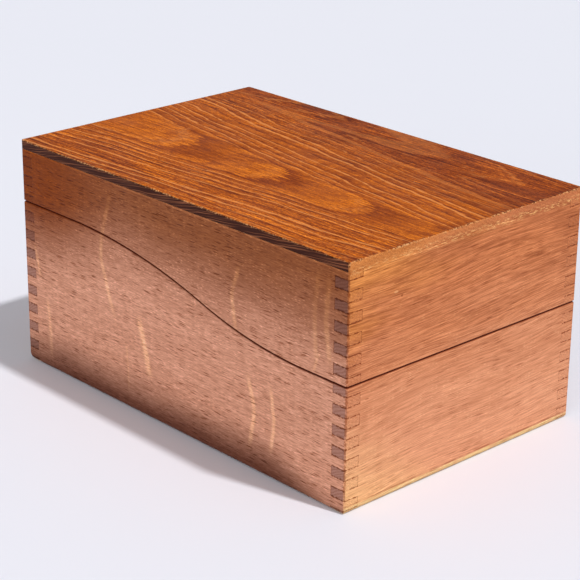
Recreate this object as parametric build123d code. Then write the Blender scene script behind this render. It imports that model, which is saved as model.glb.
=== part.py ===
from build123d import *

import math
import os

# A wooden card file box for 3 x 5 in cards. Four finger-jointed walls, a panel glued over them and a
# bottom let in from below make one closed case, which is then sawn along a level front, an S-curve
# on each side and a level back into a base and a lid. Two butt hinges join them at the back, and a
# leaning follower board slides on a steel rail inside and holds the cards up.
#
# Millimetres, +Z up. The origin is the middle of the underside, the front faces -Y, the hinges are
# at +Y, and left and right are as seen from the front.

# Case, closed
case_width = 146.0
case_depth = 223.0
case_height = 113.0
wall = 7.9
top_thickness = 4.4
bottom_thickness = 5.0

# Rabbet round the underside for the bottom panel
rabbet_depth = 4.0
panel_clearance = 0.15

# Edges, as sanded on the glued case. A bevel is as wide as each of its two legs.
corner_bevel = 0.6
front_foot_round = 2.0
side_foot_round = 1.5
back_foot_round = 5.0
top_round = 0.6
rim_bevel = 0.4
inner_rim_bevel = 0.3
seam_bevel = 0.2

# Finger joints. The front and back boards show their end grain on the sides.
finger = 4.7625
finger_pitch = 2 * finger
finger_trim = 3.2

# Split line between base and lid
split_front = 58.2
split_back = 82.4
split_run_in = 23.8
split_run_out = 38.3
low_curve_share = 0.422
split_gap = 0.4
saw_kerf = 1.5

# Butt hinges
hinge_length = 32.0
hinge_side_inset = 15.0
hinge_inset = 0.8
barrel_radius = 1.8
pin_radius = 0.85
pin_clearance = 0.05
knuckles = 3
knuckle_gap = 0.15
leaf_thickness = 1.0
leaf_setback = 0.9
leaf_sink = 0.05
mortise_clearance = 0.1
barrel_relief = 0.3
open_angle = 100.0
stop_clearance = 3.0

# Countersunk screws of the hinges and the rail
screw_head_radius = 1.6
screw_head_height = 1.0
screw_shank_radius = 0.8
screw_clearance = 0.05
hinge_screw_length = 7.0
hinge_screws_per_leaf = 2
hinge_screw_spacing = 19.0
rail_screw_length = 6.4

# Follower rail, a flat strip that stands on round feet
rail_width = 16.0
rail_thickness = 1.0
rail_lift = 1.8
rail_end_gap = 1.6
rail_corner_bevel = 3.0
rail_feet = 2
rail_foot_inset = 14.0
rail_foot_radius = 4.0

# Follower board
follower_side_gap = 2.6
follower_length = 68.0
follower_thickness = 8.0
follower_lean = 10.0
follower_floor_gap = 0.8
follower_corner_round = 10.0
follower_edge_bevel = 0.9
follower_foot_spare = 8.0
follower_notch_gap = 1.0

# Saddle that grips the rail, and the upright that joins it to the board
saddle_thickness = 0.8
saddle_bend = 1.0
saddle_side_gap = 0.4
saddle_lip = 3.0
saddle_lip_gap = 0.3
saddle_ahead = 15.0
saddle_behind = 20.0
saddle_back_gap = 0.8
upright_width = 14.0
upright_height = 46.0
upright_foot = 15.0
upright_thickness = 1.0
upright_bend = 2.5
upright_corner_bevel = 3.0
foot_rivet_setback = 9.0

# Friction spring between saddle and rail, and the rivets
spring_width = 8.0
spring_length = 26.0
spring_thickness = 0.3
spring_room = 1.5
spring_flat = 6.0
spring_tail = 8.0
spring_tail_lift = 0.5
spring_bend = 8.0
spring_rail_gap = 0.15
rivet_radius = 1.5
rivet_head_radius = 2.8
rivet_head_height = 0.8
rivet_clearance = 0.05
board_rivet_heights = (20.0, 38.0)
foot_rivet_radius = 1.0
foot_rivet_head_radius = 1.8
foot_rivet_head_height = 0.5

# Worked out from the sizes above
half_width = case_width / 2
half_depth = case_depth / 2
inner_half_width = half_width - wall
inner_half_depth = half_depth - wall
wall_top = case_height - top_thickness
lid_drop = saw_kerf - split_gap
hinge_y = half_depth - hinge_inset
hinge_z = split_back
reach = 2 * case_depth
rail_length = 2 * (inner_half_depth - rail_end_gap)
rail_top = bottom_thickness + rail_lift + rail_thickness
saddle_under = rail_top + spring_room
saddle_top = saddle_under + saddle_thickness
saddle_back = inner_half_depth - saddle_back_gap
saddle_inside = rail_width + 2 * saddle_side_gap
saddle_outside = saddle_inside + 2 * saddle_thickness
board_back = saddle_back - saddle_behind

side_view = Plane(origin=(0, 0, 0), x_dir=(0, 1, 0), z_dir=(1, 0, 0))
front_view = Plane(origin=(0, 0, 0), x_dir=(1, 0, 0), z_dir=(0, -1, 0))
on_base = (Align.CENTER, Align.CENTER, Align.MIN)


# ---------------------------------------------------------------- the sanded case


def rounded_rectangle(width, height, radii, base):
    """A rectangle that stands on the line y = base. The radii start at the lower left corner and go
    round by the lower right."""
    left, right, top = -width / 2, width / 2, base + height
    corners = [(left, base), (right, base), (right, top), (left, top)]
    face = make_face(Polyline(*corners, close=True))
    for (x, y), radius in zip(corners, radii):
        vertex = face.vertices().sort_by_distance((x, y, 0))[0]
        face = fillet(vertex, radius)
    return face


def case_block():
    """The closed case as one block, rounded at the foot and the top and bevelled at the corners."""
    side_radii = (front_foot_round, back_foot_round, top_round, top_round)
    front_radii = (side_foot_round, side_foot_round, top_round, top_round)
    side = rounded_rectangle(case_depth, case_height, side_radii, 0)
    front = rounded_rectangle(case_width, case_height, front_radii, 0)
    plan = chamfer(Rectangle(case_width, case_depth).vertices(), corner_bevel)
    along_x = extrude(side_view * side, amount=half_width, both=True)
    along_y = extrude(front_view * front, amount=half_depth, both=True)
    return along_x & along_y & extrude(plan, amount=case_height)


def split_curve(offset):
    """The split line seen from the side and moved out by the offset: level, an arc that turns up, an
    arc that turns level again, and level to the back."""
    run = case_depth - split_run_in - split_run_out
    rise = split_back - split_front
    turn = 2 * math.atan2(rise, run)
    both_radii = run / math.sin(turn)
    low_radius = both_radii * low_curve_share
    high_radius = both_radii - low_radius
    start = (-half_depth + split_run_in, split_front + offset)
    level_in = Line((-reach, split_front + offset), start)
    low = JernArc(start, (1, 0), radius=low_radius - offset, arc_size=math.degrees(turn))
    high = JernArc(low @ 1, low % 1, radius=high_radius + offset, arc_size=-math.degrees(turn))
    level_out = Line(high @ 1, (reach, split_back + offset))
    return [level_in, low, high, level_out]


def space_beside_split(offset, far_z):
    """All that lies between the split line and a far height, over the whole width."""
    curve = split_curve(offset)
    start, end = curve[0] @ 0, curve[-1] @ 1
    frame = Polyline(end, (end.X, far_z), (start.X, far_z), start)
    return extrude(side_view * make_face([*curve, *frame.edges()]), amount=reach, both=True)


def ease_rim(shell, offset):
    """Bevels the outer and the inner edges that the saw left along the split."""
    line = Wire(split_curve(offset))
    for outside, width in ((True, rim_bevel), (False, inner_rim_bevel)):
        rim = []
        for edge in shell.edges():
            seen = side_view.to_local_coords(edge @ 0.5)
            on_line = line.distance_to(Vertex(seen.X, seen.Y, 0)) < 0.001
            if on_line and is_outside(edge) == outside:
                rim.append(edge)
        shell = chamfer(rim, width)
    return shell


def is_outside(edge):
    """Whether an edge lies on the outer half of the walls."""
    middle = edge @ 0.5
    return max(abs(middle.X) - inner_half_width, abs(middle.Y) - inner_half_depth) > wall / 2


def walls(offset, far_z):
    """The four walls of the base or the lid as one ring."""
    cavity = Pos(0, 0, -reach / 2) * Box(2 * inner_half_width, 2 * inner_half_depth, reach, align=on_base)
    above_walls = Pos(0, 0, wall_top) * Box(reach, reach, reach, align=on_base)
    ring = (block & space_beside_split(offset, far_z)) - cavity - above_walls
    return ease_rim(ring, offset)


def ease_seam(ring):
    """Bevels the outer edges under the top panel, so that the glue line reads as a fine groove."""
    highest = ring.edges().group_by(Axis.Z)[-1]
    return chamfer([edge for edge in highest if is_outside(edge)], seam_bevel)


def corner_fingers(drop):
    """The fingers of the front and back boards: one stack in each corner, lowered by what the saw
    took."""
    first = -finger_trim - drop
    count = math.ceil((case_height - first) / finger_pitch)
    corners = GridLocations(case_width - wall, case_depth - wall, 2, 2)
    block_shape = Box(wall, wall, finger, align=on_base)
    levels = [Pos(0, 0, first + number * finger_pitch) for number in range(count)]
    return Compound([corner * level * block_shape for corner in corners for level in levels])


def side_board(ring, fingers, side):
    """The left (-1) or right (+1) wall: full depth, notched where the fingers pass."""
    slab = Pos(side * (half_width - wall / 2), 0, 0) * Box(wall, case_depth, case_height, align=on_base)
    return ring & slab - fingers


def end_board(ring, fingers, end):
    """The front (-1) or back (+1) wall: the width between the sides, and its fingers."""
    slab = Box(2 * inner_half_width, wall, case_height, align=on_base)
    slab = Pos(0, end * (half_depth - wall / 2), 0) * slab
    near = Pos(0, end * half_depth, 0) * Box(reach, case_depth, reach)
    return ring & (slab + fingers) & near


# ---------------------------------------------------------------- fasteners


def countersunk_screw(length, clearance=0.0):
    """A screw pointing up, with the flat of its head at z = 0. With a clearance, its hole."""
    head = screw_head_radius + clearance
    shank = screw_shank_radius + clearance
    corners = [(0, 0), (head, 0), (shank, screw_head_height), (shank, length), (0, length)]
    return revolve(Plane.XZ * make_face(Polyline(*corners, close=True)), axis=Axis.Z)


def rivet(grip, shank, head, head_height):
    """A rivet along Z that grips from z = 0 to the grip length between two flat heads."""
    stem = Cylinder(shank, grip, align=on_base)
    cap = Cylinder(head, head_height, align=on_base)
    return stem + Pos(0, 0, grip) * cap + mirror(cap, about=Plane.XY)


# ---------------------------------------------------------------- hinges, drawn about their axis

leaf_face = split_gap / 2 + leaf_sink
leaf_reach = wall - hinge_inset - leaf_setback
screw_line = -(barrel_radius + leaf_reach) / 2
hinge_x = half_width - hinge_side_inset - hinge_length / 2
hinge_places = [Pos(side * hinge_x, hinge_y, hinge_z) for side in (-1, 1)]
screw_numbers = range(hinge_screws_per_leaf)
screw_places = [(number - (hinge_screws_per_leaf - 1) / 2) * hinge_screw_spacing for number in screw_numbers]


def rod(radius, length):
    """A round bar along X, centred."""
    return extrude(Plane.YZ * Circle(radius), amount=length / 2, both=True)


def half(side, shape):
    """A shape of the lid's half as drawn (+1), or mirrored below the axis for the base (-1)."""
    return shape if side > 0 else mirror(shape, about=Plane.XY)


def hinge_leaf(side):
    """A plate that lies in its mortise, with the knuckles rolled from it. The base has the outer
    knuckles."""
    step = hinge_length / knuckles
    plate = Box(hinge_length, leaf_reach, leaf_thickness, align=(Align.CENTER, Align.MAX, Align.MIN))
    plate = fillet(plate.edges().filter_by(Axis.Z).group_by(Axis.Y)[0], leaf_thickness / 2)
    leaf = Pos(0, 0, leaf_face) * plate
    for number in range(knuckles):
        middle = Pos((number - (knuckles - 1) / 2) * step, 0, 0)
        own = (number % 2 == 0) == (side < 0)
        if own:
            leaf += middle * rod(barrel_radius, step - knuckle_gap)
        else:
            room = 2 * (barrel_radius + knuckle_gap)
            leaf -= middle * Box(step + knuckle_gap, room, room)
    leaf -= rod(pin_radius + pin_clearance, reach)
    for x in screw_places:
        leaf -= Pos(x, screw_line, leaf_face) * countersunk_screw(hinge_screw_length, screw_clearance)
    return half(side, leaf)


def leaf_screws(side):
    """The screws of one leaf."""
    screw = countersunk_screw(hinge_screw_length)
    return [half(side, Pos(x, screw_line, leaf_face) * screw) for x in screw_places]


def hinge_seat(side):
    """What the back of the case loses to one hinge: the mortise, the room for the barrel and the
    screw holes."""
    length = hinge_length + 2 * mortise_clearance
    depth = leaf_face + leaf_thickness
    mortise = Box(length, 2 * (leaf_reach + mortise_clearance), depth, align=on_base)
    seat = mortise + rod(barrel_radius + barrel_relief, length)
    for x in screw_places:
        seat += Pos(x, screw_line, leaf_face) * countersunk_screw(hinge_screw_length, screw_clearance)
    return half(side, seat)


def stop_bevel(side):
    """The bevel behind the hinge axis. The two bevels meet just past the open angle and hold the
    lid there."""
    width = 3 * hinge_inset
    drop = width * math.tan(math.radians((open_angle + stop_clearance) / 2))
    wedge = side_view * make_face(Polyline((0, 0), (width, 0), (width, drop), close=True))
    return Pos(0, hinge_y, hinge_z) * half(side, extrude(wedge, amount=reach, both=True))


# ---------------------------------------------------------------- the case, cut into boards


def case_boards(side):
    """The four boards of the base (-1) or the lid (+1) and the split face they share."""
    ring = walls(side * split_gap / 2, side * reach)
    ring -= stop_bevel(side)
    for place in hinge_places:
        ring -= place * hinge_seat(side)
    ring = ease_seam(ring) if side > 0 else ring - rabbet(0)
    fingers = corner_fingers(lid_drop if side > 0 else 0)
    return {
        "front": end_board(ring, fingers, -1),
        "back": end_board(ring, fingers, 1),
        "left": side_board(ring, fingers, -1),
        "right": side_board(ring, fingers, 1),
    }


def rabbet(clearance):
    """The room for the bottom panel, open below. With a clearance, the panel itself."""
    grow = 2 * (rabbet_depth - clearance)
    return Box(2 * inner_half_width + grow, 2 * inner_half_depth + grow, bottom_thickness, align=on_base)


def bottom_panel():
    """The bottom, with the holes of the rail's screws."""
    panel = rabbet(panel_clearance)
    for place in rail_screw_places():
        panel -= place * rail_screw(screw_clearance)
    return panel


def top_panel():
    """The panel glued over the walls."""
    return block & Pos(0, 0, wall_top) * Box(reach, reach, reach, align=on_base)


# ---------------------------------------------------------------- follower rail


def rail_screw_places():
    """Where the rail's feet stand, on the face of the bottom."""
    spacing = (rail_length - 2 * rail_foot_inset) / (rail_feet - 1)
    return [Pos(0, (number - (rail_feet - 1) / 2) * spacing, bottom_thickness) for number in range(rail_feet)]


def rail_screw(clearance=0.0):
    """A screw pointing down, with its head sunk in the top of the rail."""
    height = rail_lift + rail_thickness
    return Pos(0, 0, height) * mirror(countersunk_screw(rail_screw_length, clearance), about=Plane.XY)


def follower_rail():
    """A flat strip on a round foot at each screw."""
    rail = Box(rail_width, rail_length, rail_thickness, align=on_base)
    rail = Pos(0, 0, bottom_thickness + rail_lift) * rail
    rail = chamfer(rail.edges().filter_by(Axis.Z), rail_corner_bevel)
    for place in rail_screw_places():
        rail += place * Cylinder(rail_foot_radius, rail_lift, align=on_base)
        rail -= place * rail_screw(screw_clearance)
    return rail


# ---------------------------------------------------------------- follower


lean = math.radians(follower_lean)
lean_rise = Vector(math.sin(lean), math.cos(lean))
rear_face = Plane(
    origin=(0, board_back, bottom_thickness),
    x_dir=(-1, 0, 0),
    z_dir=(0, math.cos(lean), -math.sin(lean)),
)
upright_start = Vector(board_back + (saddle_top - bottom_thickness) * math.tan(lean), saddle_top)
foot_rivet_y = upright_start.X + foot_rivet_setback


def board_rivet_places():
    """Where the rivets enter the front face of the board."""
    return [rear_face.location * Pos(0, height, -follower_thickness) for height in board_rivet_heights]


def rivet_bores(radius):
    """The holes of the two rivets through board and upright."""
    return [place * Cylinder(radius + rivet_clearance, reach) for place in board_rivet_places()]


def follower_board():
    """The leaning board, cut level at its foot and notched over the saddle."""
    middle = (follower_length - follower_foot_spare) / 2
    width = 2 * (inner_half_width - follower_side_gap)
    outline = Pos(0, middle) * Rectangle(width, follower_length + follower_foot_spare)
    outline = fillet(outline.vertices().group_by(Axis.Y)[-1], follower_corner_round)
    board = extrude(outline, amount=-follower_thickness)
    outer = board.edges().filter_by(Axis.Z, reverse=True).group_by(Axis.Y)[1:]
    board = chamfer([edge for group in outer for edge in group], follower_edge_bevel)
    board = rear_face.location * board
    foot = bottom_thickness + follower_floor_gap
    board -= Pos(0, 0, foot) * Box(reach, reach, reach, align=(Align.CENTER, Align.CENTER, Align.MAX))
    notch_width = saddle_outside + 2 * follower_notch_gap
    notch = Box(notch_width, reach, saddle_top + follower_notch_gap, align=on_base)
    board -= fillet(notch.edges().filter_by(Axis.Y).group_by(Axis.Z)[-1], follower_notch_gap)
    return board - rivet_bores(rivet_radius)


def section(width, low, high):
    """A level strip of a cross-section, centred."""
    return Pos(0, (low + high) / 2) * Rectangle(width, high - low)


def follower_saddle():
    """A pressed channel that runs over the rail and turns in under its edges."""
    lip_top = bottom_thickness + rail_lift - saddle_lip_gap
    lip_low = lip_top - saddle_thickness
    outside = section(saddle_outside, lip_low, saddle_top)
    outside = fillet(outside.vertices().group_by(Axis.Y)[-1], saddle_bend)
    channel = outside - section(saddle_inside, lip_top, saddle_under)
    channel -= section(saddle_inside - 2 * saddle_lip, lip_low, lip_top)
    length = saddle_ahead + saddle_behind
    saddle = Pos(0, saddle_back, 0) * extrude(front_view * channel, amount=length)
    return saddle - foot_rivet_bore()


def foot_rivet_bore():
    """The hole of the rivet through upright, saddle and spring."""
    return Pos(0, foot_rivet_y, saddle_under) * Cylinder(foot_rivet_radius + rivet_clearance, reach)


def bent_strip(points, bend, thickness, width, side):
    """A strip of sheet metal along a bent line in the side view. The line is one of its faces."""
    line = FilletPolyline(*points, radius=bend)
    profile = make_face(offset(line, amount=thickness, side=side))
    return extrude(side_view * profile, amount=width / 2, both=True)


def follower_upright():
    """The angle riveted to the saddle and to the back of the board."""
    start = upright_start
    top = start + lean_rise * upright_height
    points = [(start.X + upright_foot, start.Y), start, top]
    upright = bent_strip(points, upright_bend, upright_thickness, upright_width, Side.RIGHT)
    corners = [e for e in upright.edges() if abs(e.length - upright_thickness) < 0.001]
    upright = chamfer(corners, upright_corner_bevel)
    return upright - rivet_bores(rivet_radius) - foot_rivet_bore()


def follower_spring():
    """A bowed strip under the saddle that rubs on the rail."""
    flat_end = foot_rivet_y + spring_flat / 2
    touch = rail_top + spring_rail_gap + spring_thickness
    points = [
        (flat_end, saddle_under),
        (flat_end - spring_flat, saddle_under),
        (flat_end - spring_length + spring_tail, touch),
        (flat_end - spring_length, touch + spring_tail_lift),
    ]
    return bent_strip(points, spring_bend, spring_thickness, spring_width, Side.LEFT) - foot_rivet_bore()


def follower_rivets():
    """Two rivets through board and upright, and one through upright, saddle and spring."""
    long_grip = follower_thickness + upright_thickness
    long = rivet(long_grip, rivet_radius, rivet_head_radius, rivet_head_height)
    shapes = [place * long for place in board_rivet_places()]
    low = saddle_under - spring_thickness
    short_grip = saddle_top + upright_thickness - low
    short = rivet(short_grip, foot_rivet_radius, foot_rivet_head_radius, foot_rivet_head_height)
    return shapes + [Pos(0, foot_rivet_y, low) * short]


# ---------------------------------------------------------------- nodes

block = case_block()
nodes = {}

for body, side in (("base", -1), ("lid", 1)):
    for name, board in case_boards(side).items():
        nodes[f"{body}_{name}"] = [board]
    screws = [place * screw for place in hinge_places for screw in leaf_screws(side)]
    nodes[f"{body}_hinge_screws"] = screws

for name, place in zip(("left", "right"), hinge_places):
    nodes[f"hinge_{name}_base_leaf"] = [place * hinge_leaf(-1)]
    nodes[f"hinge_{name}_lid_leaf"] = [place * hinge_leaf(1)]
    nodes[f"hinge_{name}_pin"] = [place * rod(pin_radius, hinge_length - knuckle_gap)]

nodes["base_bottom"] = [bottom_panel()]
nodes["lid_top"] = [top_panel()]
nodes["follower_rail"] = [follower_rail()]
nodes["follower_rail_screws"] = [place * rail_screw() for place in rail_screw_places()]
nodes["follower_board"] = [follower_board()]
nodes["follower_saddle"] = [follower_saddle()]
nodes["follower_upright"] = [follower_upright()]
nodes["follower_spring"] = [follower_spring()]
nodes["follower_rivets"] = follower_rivets()

os.makedirs("parts", exist_ok=True)
for name, shapes in nodes.items():
    solids = [solid for shape in shapes for solid in shape.solids()]
    export_step(Compound(solids), os.path.join("parts", name + ".step"))
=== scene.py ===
import math
from functools import reduce

import bmesh
import bpy
from bpy.props import FloatProperty, FloatVectorProperty, IntProperty, PointerProperty
from mathutils import Matrix, Vector


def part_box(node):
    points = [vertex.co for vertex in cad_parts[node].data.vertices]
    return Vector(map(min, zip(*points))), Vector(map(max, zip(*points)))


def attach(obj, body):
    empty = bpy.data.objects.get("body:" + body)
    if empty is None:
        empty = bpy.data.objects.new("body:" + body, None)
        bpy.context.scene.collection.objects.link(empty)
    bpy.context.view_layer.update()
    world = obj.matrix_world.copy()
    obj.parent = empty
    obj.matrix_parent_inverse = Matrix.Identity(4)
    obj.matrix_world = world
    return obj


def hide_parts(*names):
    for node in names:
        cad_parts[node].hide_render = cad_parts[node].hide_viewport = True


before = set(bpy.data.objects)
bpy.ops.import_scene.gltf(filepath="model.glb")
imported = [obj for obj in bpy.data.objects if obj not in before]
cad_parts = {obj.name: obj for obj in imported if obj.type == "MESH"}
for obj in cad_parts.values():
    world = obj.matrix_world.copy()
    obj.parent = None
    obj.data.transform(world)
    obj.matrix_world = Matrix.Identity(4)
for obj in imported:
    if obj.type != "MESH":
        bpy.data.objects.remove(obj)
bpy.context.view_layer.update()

bl_info = {
    "name": "Card Box",
    "version": (1, 0, 0),
    "blender": (4, 5, 0),
    "location": "View3D > Sidebar > Card Box",
    "description": "Finishes the finger-jointed card box in varnished wood, brass and plated steel",
    "category": "Add Mesh",
}

# The object's own box as packed, and the sizes of the case that the patterns follow, in millimetres.
MM = 0.001
HALF_WIDTH = 73.0
HALF_DEPTH = 111.5
HEIGHT = 113.0
WALL = 7.9
TOP_THICKNESS = 4.4
SEAM = HEIGHT - TOP_THICKNESS
SPLIT_LOW = 55.0
SPLIT_HIGH = 86.0
FOOT_GROOVE = 3.4
FINGER = 4.7625
FINGER_TRIM = 3.2
LID_DROP = 1.1

# The gloss of the varnish, and the camera's aim to the right of the middle and over it, in millimetres.
VARNISH = 0.08
AIM_RIGHT = -0.51
AIM_UP = -6.32

ORIGIN = (0.0, 0.0, 0.0)
ONES = (1.0, 1.0, 1.0)


def screen(red, green, blue):
    """A colour as a screen shows it, 0 to 255, in the linear values that the nodes work in."""
    linear = []
    for level in (red, green, blue):
        part = level / 255
        linear.append(part / 12.92 if part <= 0.04045 else ((part + 0.055) / 1.055) ** 2.4)
    return (*linear, 1.0)


# Colours that no setting changes: the painted shade in the sawn gap, the wear, the floor's stains and the
# light of the sky.
GAP_SHADE = screen(104, 32, 12)
SCRATCHED = screen(226, 164, 110)
SCRATCHED_PALE = screen(226, 184, 140)
FLANK_DARK = screen(62, 24, 10)
FLANK_LIGHT = screen(136, 80, 52)
CHIP_DARK = screen(96, 46, 24)
CHIP_LIGHT = screen(228, 168, 112)
SPRING_WORN = screen(52, 46, 44)
FLOOR_STAIN = screen(226, 227, 234)
SKY = (0.97, 0.98, 1.0, 1.0)


def colour(name, description, *levels):
    """A colour property with its default given as a screen shows it."""
    return FloatVectorProperty(
        name=name, description=description, default=screen(*levels), size=4, subtype="COLOR", min=0, max=1
    )


def length(name, description, default):
    """A length property with its default given in millimetres."""
    return FloatProperty(name=name, description=description, default=default * MM, min=0, subtype="DISTANCE")


def share(name, description, default):
    """A property from 0 to 1."""
    return FloatProperty(name=name, description=description, default=default, min=0, max=1, subtype="FACTOR")


def angle(name, description, degrees):
    """An angle property with its default given in degrees."""
    return FloatProperty(name=name, description=description, default=math.radians(degrees), subtype="ANGLE")


# ---------------------------------------------------------------- what a user may change


class CardBoxWood(bpy.types.PropertyGroup):
    """The colours and the figure of the wood."""

    side_colour: colour("Side", "The side boards where they are lightest", 221, 156, 126)
    # Partly stain and partly painted shade, for the top of the sides.
    side_stain_and_shade: colour("Side stain", "The side boards at the top", 149, 84, 46)
    # Partly stain and partly painted shade, for the top of the back of the sides.
    side_rear_stain_and_shade: colour("Side rear", "The side boards at the top of the back", 136, 60, 2)
    # Painted shade along the foot of the sides, with some wear.
    side_foot_shade: colour("Side foot", "The side boards at the foot", 90, 40, 24)
    end_colour: colour("Tenon ends", "The end grain that shows on the sides", 186, 134, 116)
    # Partly stain and partly painted shade, for the top of the tenon ends.
    end_stain_and_shade: colour("Tenon ends, stained", "The end grain at the top of the sides", 132, 82, 64)
    front_colour: colour("Front", "The front and back boards at the foot", 223, 153, 114)
    front_warm: colour("Front warm", "The front and back boards at the top", 196, 116, 70)
    front_pale: colour("Front pale", "The left corner of the front at the foot", 238, 180, 124)
    front_rubbed: colour("Front rubbed", "Specks rubbed bare along the top of the front", 238, 178, 114)
    # A pale line along the rounded foot of the front and back boards.
    foot_pale: colour("Foot rubbed", "The rounded foot of the front and back boards", 232, 196, 136)
    front_gold: colour("Front gold", "Patches at the top of the front", 218, 138, 66)
    top_colour: colour("Top", "The top panel between its lines", 182, 90, 14)
    top_light: colour("Top light", "The light lines of the top panel", 234, 148, 78)
    top_amber: colour("Top amber", "The flames of the top panel", 206, 108, 16)
    top_red: colour("Top red", "The darker right side of the top panel", 152, 68, 12)
    raw_colour: colour("Raw wood", "The wood inside the case", 203, 160, 116)
    pore_length: length("Pore length", "Length of a pore of the side boards", 8.0)
    ring_spacing: length("Ring spacing", "From one line of the top panel to the next", 5.0)


class CardBoxHardware(bpy.types.PropertyGroup):
    """The finishes of the metal pieces."""

    brass: colour("Brass", "The hinges where they are clean", 214, 172, 98)
    brass_dull: colour("Dull brass", "The hinges where they have dulled", 150, 112, 66)
    steel: colour("Steel", "The plated rail and follower fittings", 200, 199, 194)
    steel_dull: colour("Dull steel", "The plating where it has dulled", 146, 142, 134)
    spring: colour("Spring", "The blued spring", 70, 74, 86)


class CardBoxStage(bpy.types.PropertyGroup):
    """The floor, the lamps and the camera."""

    floor: colour("Floor", "The floor", 232, 233, 242)
    key: FloatProperty(name="Key", description="Strength of the main lamp", default=2.15, min=0)
    fill: FloatProperty(name="Fill", description="Strength of the lamp on the left", default=1.0, min=0)
    sky: share("Sky", "Strength of the light from above", 0.5)
    horizon: share("Horizon", "Strength of the light from far off", 0.14)
    backdrop: colour("Backdrop", "The backdrop past the floor", 231, 233, 242)
    shine: share("Shine", "How much of the backdrop shows in what shines", 0.15)
    turn: angle("Turn", "How far the camera stands round to the left", 43.1885)
    rise: angle("Rise", "How far the camera looks down", 21.3844)
    roll: angle("Roll", "How far the camera is tipped", 0.6605)
    distance: length("Distance", "From the middle of the case", 892.24)
    lens: FloatProperty(
        name="Lens", description="Focal length in mm", default=117.234, subtype="DISTANCE_CAMERA"
    )


class CardBoxSettings(bpy.types.PropertyGroup):
    """All that can be set on the card box."""

    wood: PointerProperty(type=CardBoxWood)
    hardware: PointerProperty(type=CardBoxHardware)
    stage: PointerProperty(type=CardBoxStage)
    seed: IntProperty(name="Seed", description="Turns the screw slots another way", default=7)


# ---------------------------------------------------------------- nodes

SOCKETS = {int: "NodeSocketInt", float: "NodeSocketFloat", tuple: "NodeSocketVector"}


class Wiring:
    """Adds nodes to one tree. An input that is given a socket is linked, and any other is set."""

    def __init__(self, tree):
        self.tree = tree

    def add(self, kind, inputs, output=0, **settings):
        """A node of that kind, as its output with that number or name."""
        node = self.tree.nodes.new(kind)
        for name, value in settings.items():
            setattr(node, name, value)
        for name, value in inputs.items():
            self.feed(node.inputs[name], value)
        return node.outputs[output]

    def feed(self, socket, value):
        if isinstance(value, bpy.types.NodeSocket):
            self.tree.links.new(value, socket)
        elif socket.type == "VECTOR":
            socket.default_value = value[:3]
        else:
            socket.default_value = value

    def math(self, operation, *values):
        return self.add("ShaderNodeMath", dict(enumerate(values)), operation=operation)

    def product(self, *values):
        return reduce(lambda a, b: self.math("MULTIPLY", a, b), values)

    def total(self, *values):
        return reduce(lambda a, b: self.math("ADD", a, b), values)

    def most(self, *values):
        return reduce(lambda a, b: self.math("MAXIMUM", a, b), values)

    def least(self, *values):
        return reduce(lambda a, b: self.math("MINIMUM", a, b), values)

    def less(self, value, by):
        return self.math("SUBTRACT", value, by)

    def over(self, value, by):
        return self.math("DIVIDE", value, by)

    def absolute(self, value):
        return self.math("ABSOLUTE", value)

    def apart(self, a, b):
        """How far two values are from each other."""
        return self.absolute(self.less(a, b))

    def vector(self, operation, *values):
        return self.add("ShaderNodeVectorMath", dict(enumerate(values)), operation=operation)

    def stretch(self, place, *sizes):
        """A place counted in cells of those three sizes."""
        return self.vector("DIVIDE", place, self.join(*sizes))

    def join(self, x=0.0, y=0.0, z=0.0):
        return self.add("ShaderNodeCombineXYZ", {"X": x, "Y": y, "Z": z})

    def split(self, place):
        self.add("ShaderNodeSeparateXYZ", {"Vector": place})
        return list(self.tree.nodes[-1].outputs)

    def noise(self, place, detail=2.0, roughness=0.5, distortion=0.0, output="Fac"):
        inputs = {"Vector": place, "Scale": 1.0, "Detail": detail, "Roughness": roughness}
        return self.add("ShaderNodeTexNoise", {**inputs, "Distortion": distortion}, output)

    def cloud(self, place, sizes, **settings):
        """Noise in cells of one size, or of those three sizes."""
        if not isinstance(sizes, tuple):
            sizes = (sizes, sizes, sizes)
        return self.noise(self.stretch(place, *sizes), **settings)

    def span(self, value, low, high, to_low=0.0, to_high=1.0):
        """A value run smoothly from one range to another, and held at its ends."""
        inputs = {"Value": value, "From Min": low, "From Max": high, "To Min": to_low, "To Max": to_high}
        return self.add("ShaderNodeMapRange", inputs, interpolation_type="SMOOTHSTEP")

    def fade(self, value, low, high):
        """A value run smoothly from 1 down to 0."""
        return self.span(value, low, high, 1.0, 0.0)

    def mix(self, mask, a, b):
        """Colour a, and colour b where the mask is 1."""
        return self.add("ShaderNodeMix", {0: mask, 6: a, 7: b}, 2, data_type="RGBA")

    def blend(self, mask, a, b):
        """Value a, and value b where the mask is 1."""
        return self.add("ShaderNodeMix", {0: mask, 2: a, 3: b}, 0, data_type="FLOAT")

    def tint(self, hue, mask, change):
        """A colour whose three parts grow by those shares of themselves where the mask is 1."""
        return self.vector("MULTIPLY", hue, self.vector("MULTIPLY_ADD", mask, change, ONES))

    def use(self, pattern, inputs, *outputs):
        """A shared pattern, as one of its outputs or as several."""
        node = self.tree.nodes.new("ShaderNodeGroup")
        node.node_tree = pattern
        for name, value in inputs.items():
            self.feed(node.inputs[name], value)
        found = [node.outputs[name] for name in outputs]
        return found[0] if len(found) == 1 else found


class Group(Wiring):
    """A node group. Its inputs are given by name with their usual values, and other sockets by kind."""

    def __init__(self, kind, name, inputs, *others):
        super().__init__(bpy.data.node_groups.new(name, kind))
        new_socket = self.tree.interface.new_socket
        for label, value in inputs.items():
            new_socket(label, in_out="INPUT", socket_type=SOCKETS[type(value)]).default_value = value
        for label, way, socket in others:
            new_socket(label, in_out=way, socket_type=socket)
        self.given = self.tree.nodes.new("NodeGroupInput").outputs
        self.result = self.tree.nodes.new("NodeGroupOutput").inputs


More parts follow.
